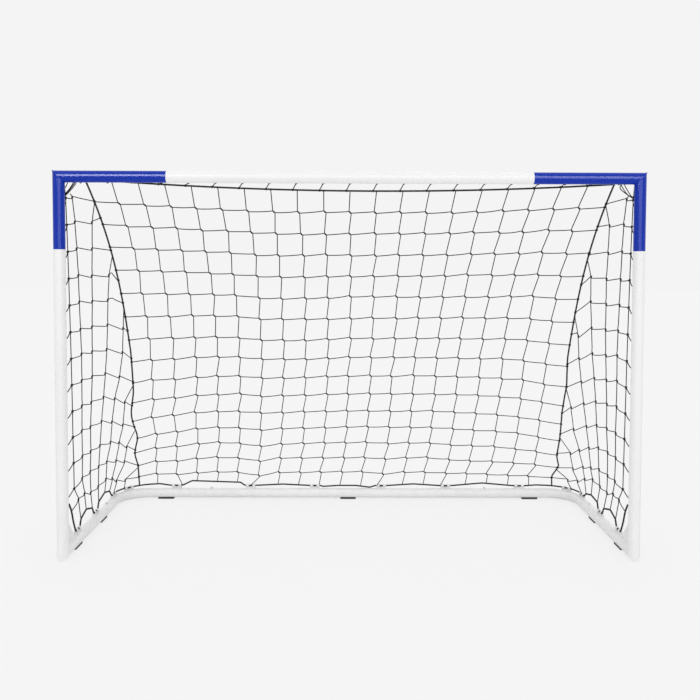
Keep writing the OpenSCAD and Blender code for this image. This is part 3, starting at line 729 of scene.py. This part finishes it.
class Strands:
    """Many strands gathered into one mesh with a UV map: u round a strand, v along it."""

    def __init__(self):
        self.points, self.faces, self.uvs = [], [], []
        self.count = 0

    def add(self, route, outline, lay=0.0):
        """A strand along route. With a lay, its outline turns once in that length."""
        route = np.array([tuple(p) for p in route], float)
        ahead = np.gradient(route, axis=0)
        ahead /= np.linalg.norm(ahead, axis=1)[:, None]
        ref = (0, 0, 1) if abs(ahead[0][2]) < 0.9 else (1, 0, 0)
        side = np.cross(ahead[0], ref)
        sides = []
        for direction in ahead:
            side = side - direction * (side @ direction)
            side = side / np.linalg.norm(side)
            sides.append(side)
        sides = np.array(sides)
        ups = np.cross(sides, ahead)
        along = np.concatenate([[0], np.cumsum(np.linalg.norm(np.diff(route, axis=0), axis=1))])
        radius, turn = np.array(outline).T
        twist = TAU * along / lay if lay else 0 * along
        turned = (turn + twist[:, None])[..., None]
        ring = route[:, None] + radius[:, None] * (np.cos(turned) * sides[:, None]
                                                   + np.sin(turned) * ups[:, None])
        n, m = len(route), len(outline)
        base = self.count
        self.points.append(ring.reshape(-1, 3))
        self.count += n * m
        for i in range(n - 1):
            for k in range(m):
                j = (k + 1) % m
                a, b = base + i * m, base + (i + 1) * m
                self.faces.append((a + k, a + j, b + j, b + k))
                u0, u1 = k / m, (k + 1) / m
                self.uvs += (u0, along[i], u1, along[i], u1, along[i + 1], u0, along[i + 1])
        self.faces.append(tuple(base + k for k in range(m - 1, -1, -1)))
        self.faces.append(tuple(base + (n - 1) * m + k for k in range(m)))
        self.uvs += [0.5, along[0]] * m + [0.5, along[-1]] * m

    def mesh(self, name):
        data = bpy.data.meshes.new(name)
        data.from_pydata(np.vstack(self.points).tolist(), [], self.faces)
        layer = data.uv_layers.new(name="strand")
        layer.data.foreach_set("uv", np.array(self.uvs, np.float32))
        data.shade_smooth()
        return new_object(name, data)


def coil(centre, axis, radius, pitch, turns, steps=7):
    """Points of a few turns of thread round axis."""
    axis = Vector(axis).normalized()
    side = axis.orthogonal().normalized()
    up = axis.cross(side)
    count = round(turns * steps)
    out = []
    for i in range(count + 1):
        t = i / count * turns
        out.append(Vector(centre) + axis * pitch * (t - turns / 2)
                   + (side * math.cos(TAU * t) + up * math.sin(TAU * t)) * radius)
    return out


def bow(a, b, depth, down, steps=4):
    """Inner points of a thread from a to b that bows by depth towards down."""
    return [lerp(a, b, i / steps) + down * depth * half_wave(i / steps)
            for i in range(1, steps)]


class Netting:
    """Rows, columns and knots of one panel. Both threads run along a knot's slanted stroke."""

    def __init__(self, net, chance, facing, down):
        self.net, self.chance, self.facing, self.down = net, chance, facing, down
        self.across, self.drops, self.knots = Strands(), Strands(), Strands()
        self.outline = round_outline(net.thread / 2, 8)
        self.small = round_outline(net.thread * 0.46, 5)

    def stray(self, point):
        gauss = self.chance.gauss
        wide = self.facing.cross(self.down)
        return point + (wide * gauss(0, 1) + self.down * gauss(0, 1)) * self.net.slack

    def thread(self, strands, ends, strokes, side):
        """A thread through knots: ends holds each knot's place, and strokes half the length and
        direction of each stroke, or None where the thread only ends or passes."""
        lift = self.facing * self.net.thread * 0.4 * side
        route = []
        for place, stroke in zip(ends, strokes):
            start = place if stroke is None else place - stroke
            if route:
                depth = abs(self.chance.gauss(0, self.net.slack * 0.7))
                route += bow(route[-1], start, depth, self.down)
            route += [place] if stroke is None else [place - stroke + lift, place + stroke + lift]
        strands.add(route, self.outline)

    def knot(self, place, stroke):
        thread = self.net.thread
        self.knots.add(coil(place, stroke, thread * 0.8, thread * 0.95, 2, 4), self.small)

    def finish(self, name, node):
        for part, strands, replaced in (("rows", self.across, (node,)),
                                        ("columns", self.drops, ()), ("knots", self.knots, ())):
            ride(strands.mesh(name.format(part)), "net_thread", *replaced)


# ---- operators


class GOAL_OT_stage(bpy.types.Operator):
    """Camera, floor, even light and the soft lamps"""

    bl_idname = "goal.stage"
    bl_label = "Stage"

    def execute(self, context):
        p = context.scene.goal_stage
        context.scene.view_settings.view_transform = "Standard"
        self.camera(p)
        self.floor(p)
        self.sky(p)
        self.lamp("overhead_softbox", (0, -0.4, 4.0), (0, 0, 0.6), (4.0, 3.0), p.overhead)
        for name, x, y, z, size, part in (
            ("strip_left", -1.45, -2.75, 2.4, (1.1, 1.75), 1.0),
            ("strip_right", 1.45, -2.75, 2.4, (1.1, 1.75), 0.45),
            ("strip_middle", 0, -2.75, 2.4, (1.7, 1.75), 0.5),
            ("strip_ahead", 0.5, -3.4, 1.3, (3.2, 1.5), 0.42),
        ):
            self.lamp(name, (x, y, z), (x, 0, z), size, p.strip * part).visible_diffuse = False
        return {"FINISHED"}

    def camera(self, p):
        data = bpy.data.cameras.new("camera")
        data.lens, data.sensor_width, data.shift_y = p.lens, 36, p.shift
        camera = bpy.context.scene.camera = new_object("camera", data)
        camera.matrix_world = (
            Matrix.Translation(p.camera) @ Matrix.Rotation(-p.yaw, 4, "Z")
            @ Matrix.Rotation(math.pi / 2 - p.pitch, 4, "X") @ Matrix.Rotation(p.roll, 4, "Z")
        )

    def floor(self, p):
        """A pale floor. To the camera and in reflections most of its tone is the backdrop's."""
        bpy.ops.mesh.primitive_plane_add(size=60, location=(0, 0, 0))
        floor = bpy.context.object
        floor.name = "studio_floor"
        f = Finish("studio_floor", (p.floor,) * 3, 0.9, Specular_IOR_Level=0.0)
        glow = f.add("Emission", {"Color": (*p.backdrop, 1), "Strength": 1.0})
        blend = f.add("MixShader", {0: f.math("MULTIPLY", f.seen(), p.even),
                                    1: f.shader.outputs[0], 2: glow.outputs[0]})
        f.feed(f.nodes["Material Output"].inputs["Surface"], blend.outputs[0])
        f.set(Base_Color=f.mix(f.noise(3, 3), (p.floor,) * 3, (p.floor * 0.99,) * 3))
        floor.data.materials.append(f.material)

    def sky(self, p):
        """Even light, weaker from the sides, and the backdrop that the camera sees."""
        bpy.context.scene.world = world = bpy.data.worlds.new("studio")
        tree = Nodes(world)
        tree.nodes.clear()
        x = tree.add("SeparateXYZ", {0: tree.coords("Generated")}).outputs["X"]
        # x * x averages a quarter over the light that a face turned forward or up gets
        fade = tree.math("MULTIPLY_ADD", tree.math("MULTIPLY", x, x), -p.sides * p.sky,
                         (1 + p.sides / 4) * p.sky)
        light = tree.add("Background", {"Color": (1, 1, 1, 1), "Strength": fade})
        seen = tree.add("Background", {"Color": (*p.backdrop, 1)})
        blend = tree.add("MixShader", {0: tree.seen(), 1: light.outputs[0], 2: seen.outputs[0]})
        tree.add("OutputWorld", {"Surface": blend.outputs[0]})

    def lamp(self, name, place, target, size, power):
        data = bpy.data.lights.new(name, "AREA")
        data.shape, data.size, data.size_y, data.energy = "RECTANGLE", size[0], size[1], power
        lamp = new_object(name, data)
        lamp.location = place
        way = Vector(target) - Vector(place)
        lamp.rotation_euler = way.to_track_quat("-Z", "Y").to_euler()
        lamp.visible_camera = False
        return lamp


class GOAL_OT_finishes(bpy.types.Operator):
    """Finishes of the frame's tubes, corners, feet, buttons, clips and studs"""

    bl_idname = "goal.finishes"
    bl_label = "Finishes"

    def execute(self, context):
        slots = {
            "top_corner": "blue_paint", "foot": "foot_rubber", "button_spring": "spring_steel",
            "button": "button_zinc", "net_clips": "white_plastic", "net_studs": "white_plastic",
            "net_": "net_thread", "rope": "border_rope",
        }
        for name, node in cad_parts.items():
            slot = next((s for start, s in slots.items() if name.startswith(start)), "white_paint")
            dress(node, slot)
        return {"FINISHED"}


class GOAL_OT_welds(bpy.types.Operator):
    """Weld beads round the mitres of the corners and along the gussets"""

    bl_idname = "goal.welds"
    bl_label = "Weld beads"

    def execute(self, context):
        for side, word in SIDES:
            across, back = Vector((side, 0, 0)), Vector((0, 1, 0))
            for name, z, long_way, short_way, slot in (
                ("top", BAR_Z, -across - UP, back, "blue_paint"),
                ("lower", GROUND_Z, back + UP, across, "white_paint"),
            ):
                bead = self.ring((side * POST_X, FRONT_Y, z), long_way, short_way)
                self.ride(bead, f"weld_{name}_corner_{word}", slot)
            self.gusset(word)
        return {"FINISHED"}

    def pick(self, kind, test):
        """Selects the edges or vertices of the mesh in hand that pass a test."""
        data = bpy.context.object.data
        bpy.ops.mesh.select_mode(type=kind)
        bpy.ops.mesh.select_all(action="DESELECT")
        shape = bmesh.from_edit_mesh(data)
        for part in shape.edges if kind == "EDGE" else shape.verts:
            part.select = test(part)
        bmesh.update_edit_mesh(data)

    def ripple(self, group):
        """Lifts every other ring of vertices."""
        self.pick("VERT", lambda v: group(v) % 2 == 0)
        bpy.ops.transform.shrink_fatten(value=WELD_RIPPLE)

    def ring(self, centre, long_way, short_way):
        """A bead round a mitre, which is an oval root two longer than it is wide."""
        bpy.ops.mesh.primitive_torus_add(major_segments=RING_PARTS, minor_segments=8,
                                         major_radius=TUBE_R - RING_SUNK, minor_radius=RING_R)
        obj = bpy.context.object
        bpy.ops.object.mode_set(mode="EDIT")
        self.ripple(lambda v: round((math.atan2(v.co.y, v.co.x) / TAU) * RING_PARTS))
        bpy.ops.mesh.select_all(action="SELECT")
        bpy.ops.transform.resize(value=(math.sqrt(2), 1, 1), center_override=(0, 0, 0))
        bpy.ops.object.mode_set(mode="OBJECT")
        return self.put(obj, centre, long_way, short_way)

    def bead(self, start, end, normal):
        """A straight bead with rounded ends."""
        way = Vector(end) - Vector(start)
        half, step = way.length / 2, way.length / (BEAD_CUTS + 1)
        bpy.ops.mesh.primitive_cylinder_add(vertices=8, radius=BEAD_R, depth=way.length,
                                            rotation=(0, math.pi / 2, 0))
        obj = bpy.context.object
        bpy.ops.object.transform_apply(location=False, rotation=True, scale=False)
        bpy.ops.object.mode_set(mode="EDIT")
        self.pick("EDGE", lambda e: abs(e.verts[0].co.x - e.verts[1].co.x) > half)
        bpy.ops.mesh.subdivide(number_cuts=BEAD_CUTS)
        self.ripple(lambda v: round((v.co.x + half) / step))
        self.pick("VERT", lambda v: abs(v.co.x) > half - step / 2)
        bpy.ops.transform.resize(value=(1, BEAD_TIP, BEAD_TIP), center_override=(0, 0, 0))
        bpy.ops.object.mode_set(mode="OBJECT")
        return self.put(obj, lerp(Vector(start), Vector(end), 0.5), way, normal)

    def put(self, obj, centre, long_way, short_way):
        x, y = long_way.normalized(), Vector(short_way)
        turn = Matrix((x, y, x.cross(y))).transposed().to_4x4()
        obj.matrix_world = Matrix.Translation(centre) @ turn
        bpy.ops.object.transform_apply(location=True, rotation=True, scale=True)
        bpy.ops.object.shade_smooth()
        return obj

    def gusset(self, word):
        low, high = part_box(f"gusset_{word}")
        tube = GROUND_Z + TUBE_R
        beads = []
        for x in (low.x - BEAD_PROUD, high.x + BEAD_PROUD):
            for start, end in (((x, FACE_Y, tube + BEAD_START), (x, FACE_Y, high.z - BEAD_STOP)),
                               ((x, FACE_Y + BEAD_START, tube), (x, high.y - BEAD_STOP, tube))):
                beads.append(self.bead(start, end, (1, 0, 0)))
        for bead in beads:  # only the last is selected yet
            bead.select_set(True)
        bpy.context.view_layer.objects.active = beads[0]
        bpy.ops.object.join()
        self.ride(beads[0], f"weld_gusset_{word}", "white_paint")

    def ride(self, obj, name, slot):
        obj.name = obj.data.name = name
        ride(obj, slot)


class GOAL_OT_ropes(bpy.types.Operator):
    """Laid border ropes: along the top, down both seams and round the ground tubes"""

    bl_idname = "goal.ropes"
    bl_label = "Border ropes"

    def execute(self, context):
        net = context.scene.goal_net
        top = [top_rope(TOP_ROPE_END * (i / 12 - 1)) for i in range(25)]
        self.piece(net, "border_rope_top", top, "rope_top")
        for side, word in SIDES:
            down = [seam(i / 48, side) for i in range(49)]
            self.piece(net, f"border_rope_seam_{word}", down, f"rope_seam_{word}")
        loop = [ground_rope(t) for t in np.linspace(-FRONT_T, FRONT_T, 700)]
        loop = ([mirror(p, -1) for p in ROPE_FRONT[::-1]] + loop[3:-3]
                + [mirror(p, 1) for p in ROPE_FRONT])
        self.piece(net, "border_rope_ground", loop, "rope_ground")
        return {"FINISHED"}

    def piece(self, net, name, route, node):
        strands = Strands()
        strands.add(smooth(route, 0.0024), laid_outline(net.rope / 2), net.rope * 3.3)
        ride(strands.mesh(name), "border_rope", node)


class GOAL_OT_back_net(bpy.types.Operator):
    """Back panel of the net: rows and columns of thread that meet in slanted knots"""

    bl_idname = "goal.back_net"
    bl_label = "Back net"

    def execute(self, context):
        net = context.scene.goal_net
        fall = seam(1, 1) - seam(0, 1)
        down = Vector((0, fall.y, fall.z)).normalized()
        panel = Netting(net, random.Random(net.seed), Vector((1, 0, 0)).cross(down), down)
        stroke = (Vector((0.75, 0, 0)) + down * 0.66).normalized() * net.knot / 2
        last_row, last = BACK_ROWS, BACK_COLUMNS
        place = {}
        for r in range(last_row + 1):
            for c in range(last + 1):
                p = back_knot(r, c)
                inside = 0 < r < last_row and 0 < c < last
                place[r, c] = panel.stray(p) if inside else p
        for r in range(1, last_row):
            panel.thread(panel.across, [place[r, c] for c in range(last + 1)],
                         [None] + [stroke] * (last - 1) + [None], 1)
        for c in range(1, last):
            panel.thread(panel.drops, [place[r, c] for r in range(last_row + 1)],
                         [None] + [stroke] * (last_row - 1) + [None], -1)
            for r in range(1, last_row):
                panel.knot(place[r, c], stroke)
        panel.finish("net_back_{}", "net_back")
        return {"FINISHED"}


class GOAL_OT_side_nets(bpy.types.Operator):
    """Side panels of the net: level rows, and columns that start at the seam on its way down"""

    bl_idname = "goal.side_nets"
    bl_label = "Side nets"

    def execute(self, context):
        net = context.scene.goal_net
        for side, word in SIDES:
            self.panel(net, side, word)
        return {"FINISHED"}

    def panel(self, net, side, word):
        panel = Netting(net, random.Random(net.seed + 2 + side), Vector((side, 0, 0)), -UP)
        stroke = Vector((0, 0.42, 1)).normalized() * net.knot / 2
        rows, ends = side_grid(side)
        place = {(k, j): panel.stray(p) if j else p
                 for k, row in enumerate(rows) for j, p in row.items()}
        for k, row in enumerate(rows):
            start = [place[k, j] for j in sorted(row)]
            strokes = [stroke if j else None for j in sorted(row)]
            if k == len(rows) - 1:
                start.insert(0, mirror(ROPE_FRONT[2], side))
                strokes = [None] + [stroke] * len(row)
            if k in SLACK_ENDS[side]:
                last, rise = start[-1], UP * SLACK_ENDS[side][k]
                start += [lerp(last, ends[k], t) + rise * part for t, part in SLACK_SHAPE]
                strokes += [None] * len(SLACK_SHAPE)
            panel.thread(panel.across, start + [ends[k]], strokes + [None], 1)
        for j in range(len(LOW_ROW)):
            held = [k for k, row in enumerate(rows) if j in row]
            if j == 0:
                top = edge(EDGE_TOP.z, side)
            elif j == 1:
                top = mirror((CORNER_HOLD[0], FACE_Y, CORNER_HOLD[1]), side)
            else:
                start = TIGHT_START if (side, j) in TIGHT_COLUMNS else LOOSE_START
                top = lerp(ends[held[0] - 1], ends[held[0]], start)
            foot = ground_rope(side * SIDE_FEET[j][0])
            spots = [top] + [place[k, j] for k in held] + [foot]
            strokes = [None] + [stroke * -1 if j or k == len(rows) - 1 else None for k in held]
            panel.thread(panel.drops, spots, strokes + [None], -1)
            for k in held:
                panel.knot(place[k, j], stroke)
        panel.finish(f"net_side_{{}}_{word}", f"net_side_{word}")


class GOAL_OT_ties(bpy.types.Operator):
    """Ties of the net: on the crossbar, behind the posts, at the corners and round the seams"""

    bl_idname = "goal.ties"
    bl_label = "Ties"

    def execute(self, context):
        net = context.scene.goal_net
        self.outline = round_outline(net.thread / 2, 8)
        self.small = round_outline(net.thread * 0.46, 5)
        self.wrap = round_outline(net.thread * 0.32, 5)
        self.crossbar(net)
        for side, word in SIDES:
            self.post(net, side, word)
        self.corners()
        self.lashings(net)
        return {"FINISHED"}

    def crossbar(self, net):
        """A line along the crossbar, hooked on its studs, and slanted ties from it to the rope."""
        ties, line = Strands(), []
        reach = net.rope / 2 + net.thread * 0.1
        out = Vector((HOOK, 0, 0))
        for i in range(BAR_STUDS):
            x = (i - (BAR_STUDS - 1) / 2) * STUD_PITCH
            knot = Vector((x, FRONT_Y + LINE_BACK, BAR_Z - LINE_DROP))
            stud = Vector((x, FRONT_Y + STUD_WRAP * math.cos(STUD_TILT),
                           BAR_Z + STUD_WRAP * math.sin(STUD_TILT)))
            if abs(x) < TOP_ROPE_END - 0.01:
                start = top_rope(max(-TOP_ROPE_END, x - TIE_LEAN))
                ties.add([start, lerp(start, knot, 0.5), knot], self.outline)
                ties.add(coil(start, (1, 0, 0), reach, 0.002, LOOP_TURNS), self.wrap)
            ties.add(coil(knot, (0.8, 0, 0.6), net.thread, net.thread, KNOT_TURNS), self.small)
            half = lerp(knot, stud, 0.5) + Vector((0, 0.006, -0.001))
            ties.add([knot, half + out, stud + out, stud + UP * HOOK, stud - out, half - out, knot],
                     self.outline)
            line.append(knot)
        ties.add(smooth(line, 0.02), self.outline)
        ride(ties.mesh("crossbar_ties"), "net_thread", "net_ties_crossbar")

    def post(self, net, side, word):
        ties = Strands()
        for i in range(POST_STUDS):
            knot = edge_knot(i, side)
            stud = Vector((side * POST_X, FRONT_Y + STUD_WRAP, POST_STUD_TOP - i * STUD_PITCH))
            bend = mirror((POST_X - BEND_IN, FRONT_Y + BEND_BACK, knot.z - BEND_DOWN), side)
            ties.add(smooth([knot, bend, stud], 0.006), self.outline)
            ties.add(coil(knot, (0, 0.2, 1), net.thread, net.thread, KNOT_TURNS), self.small)
            ties.add(coil(stud, (0, 1, 0), STUD_COIL, net.thread, LOOP_TURNS), self.small)
        ride(ties.mesh(f"post_ties_{word}"), "net_thread", f"net_ties_{word}")

    def corners(self):
        """Loops that hold the net's upper corners."""
        loops = Strands()
        for side, strands in CORNER_STRANDS.items():
            for route in strands:
                (x0, _), (_, z1) = route[0], route[-1]
                spots = [(x0 - 0.002, FACE_Y + 0.0015, BAR_Z)]
                spots += [(x, FACE_Y - 0.001, z) for x, z in route]
                spots += [(POST_X, FACE_Y + 0.0015, z1 - 0.006)]
                loops.add(smooth([mirror(p, side) for p in spots], 0.004), self.outline)
        ride(loops.mesh("corner_loops"), "net_thread")

    def lashings(self, net):
        wraps = Strands()
        reach = net.rope / 2 + net.thread * 0.12
        for side in (-1, 1):
            corner = 0 if side < 0 else BACK_COLUMNS
            spots = [(back_knot(r, corner), SEAM_TURNS) for r in range(1, BACK_ROWS)]
            for spot, turns in spots + [(end, KNOT_TURNS) for end in side_grid(side)[1]]:
                v = seam_at(spot.z, side)[1]
                along = seam(v + 0.01, side) - seam(v - 0.01, side)
                wraps.add(coil(spot, along, reach, net.thread * 0.7, turns), self.wrap)
        ride(wraps.mesh("seam_lashings"), "net_thread")


class GOAL_PT_panel(bpy.types.Panel):
    """Steps and settings of the goal"""

    bl_label = "Football goal"
    bl_space_type = "VIEW_3D"
    bl_region_type = "UI"
    bl_category = "Goal"

    def draw(self, context):
        for step in STEPS:
            self.layout.operator(step.bl_idname)
        for group in (context.scene.goal_finish, context.scene.goal_net, context.scene.goal_stage):
            box = self.layout.box()
            for name in type(group).__annotations__:
                box.prop(group, name)


STEPS = (
    GOAL_OT_stage, GOAL_OT_finishes, GOAL_OT_welds, GOAL_OT_ropes, GOAL_OT_back_net,
    GOAL_OT_side_nets, GOAL_OT_ties,
)
SETTINGS = {"goal_finish": GoalFinish, "goal_net": GoalNet, "goal_stage": GoalStage}
CLASSES = (*SETTINGS.values(), *STEPS, GOAL_PT_panel)


def register():
    for cls in CLASSES:
        bpy.utils.register_class(cls)
    for name, cls in SETTINGS.items():
        setattr(bpy.types.Scene, name, bpy.props.PointerProperty(type=cls))


def unregister():
    for name in SETTINGS:
        delattr(bpy.types.Scene, name)
    for cls in reversed(CLASSES):
        bpy.utils.unregister_class(cls)


def main():
    register()
    for step in STEPS:
        space, name = step.bl_idname.split(".")
        getattr(getattr(bpy.ops, space), name)()


if __name__ == "__main__":
    main()
